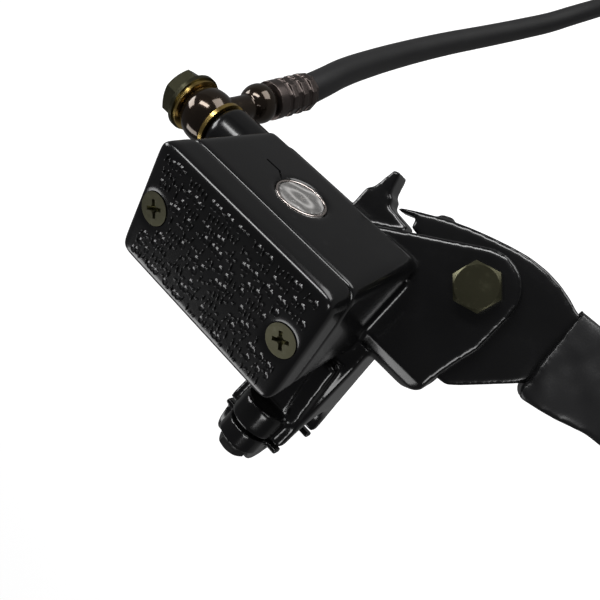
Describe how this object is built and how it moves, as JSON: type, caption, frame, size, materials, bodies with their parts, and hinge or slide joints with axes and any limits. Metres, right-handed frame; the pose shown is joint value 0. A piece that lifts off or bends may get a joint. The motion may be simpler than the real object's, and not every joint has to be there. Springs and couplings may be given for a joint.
{
  "type": "brake master cylinder",
  "caption": "Right-hand handlebar brake master cylinder with a box reservoir, sight glass, lever in a rubber sleeve, bar clamp and a hose on a ball banjo.",
  "frame": {"origin": "centre of the handlebar clamp's bore", "axes": "+X along the handlebar towards the lever's free end, +Y forward away from the rider, +Z square to the reservoir's lid"},
  "size_m": [0.2717, 0.1757, 0.478],
  "materials": {
    "black_casting": "gloss black paint on cast aluminium",
    "black_lever": "gloss black paint on cast aluminium",
    "sleeve_rubber": "soft satin rubber",
    "hose_rubber": "matte rubber with fine cloth marks",
    "seal_rubber": "matte rubber",
    "olive_zinc": "olive zinc plating",
    "gold_washer": "yellow plated sealing washer",
    "dark_banjo": "dark polished plating",
    "dark_ferrule": "dark satin plating, crimped",
    "black_bolt": "black plating",
    "lens": "clear lens",
    "bright_ring": "polished metal ring",
    "bronze_bush": "plain bronze",
    "piston_alloy": "anodised",
    "spring_steel": "bright spring wire",
    "plate_plastic": "plain moulded plastic",
    "tie_plastic": "black nylon"
  },
  "bodies": {
    "housing": {"body": "black_casting", "reservoir_cap": "black_casting", "cap_screws": "olive_zinc", "diaphragm_plate": "plate_plastic", "cap_diaphragm": "seal_rubber", "sight_glass": "lens", "sight_glass_ring": "bright_ring", "sight_glass_seal": "seal_rubber", "splash_plate": "spring_steel", "clamp_cap": "black_casting", "clamp_bolts": "black_bolt", "pivot_bolt": "olive_zinc", "pivot_nut": "olive_zinc", "return_spring": "spring_steel", "stop_washer": "spring_steel", "circlip": "spring_steel", "dust_boot": "seal_rubber", "banjo_bolt": "olive_zinc", "banjo_washers": "gold_washer", "banjo_fitting": "dark_banjo", "hose_ferrule": "dark_ferrule", "brake_hose": "hose_rubber", "hose_coil": "hose_rubber", "hose_tie": "tie_plastic", "hose_tail": "hose_rubber", "lower_ferrule": "dark_ferrule", "lower_banjo": "dark_banjo"},
    "lever": {"lever": "black_lever", "lever_sleeve": "sleeve_rubber", "pivot_bush": "bronze_bush"},
    "piston": {"piston": "piston_alloy", "primary_cup": "seal_rubber", "secondary_cup": "seal_rubber"}
  },
  "joints": [
    {"name": "lever_pivot", "type": "hinge", "parent": "housing", "child": "lever", "pos_m": [0.0195, 0.06617, -0.01994], "axis": [0, -0.3907, -0.9205], "range_deg": [0, 20], "stiffness_Nm_per_rad": 0.35, "springref_deg": -34.38},
    {"name": "piston_slide", "type": "slide", "parent": "housing", "child": "piston", "axis": [-1, 0, 0], "range_m": [0, 0.0055], "deforming": ["return_spring"]}
  ],
  "couplings": [
    {"joint": "piston_slide", "follows": "lever_pivot", "m_per_rad": 0.0157}
  ]
}
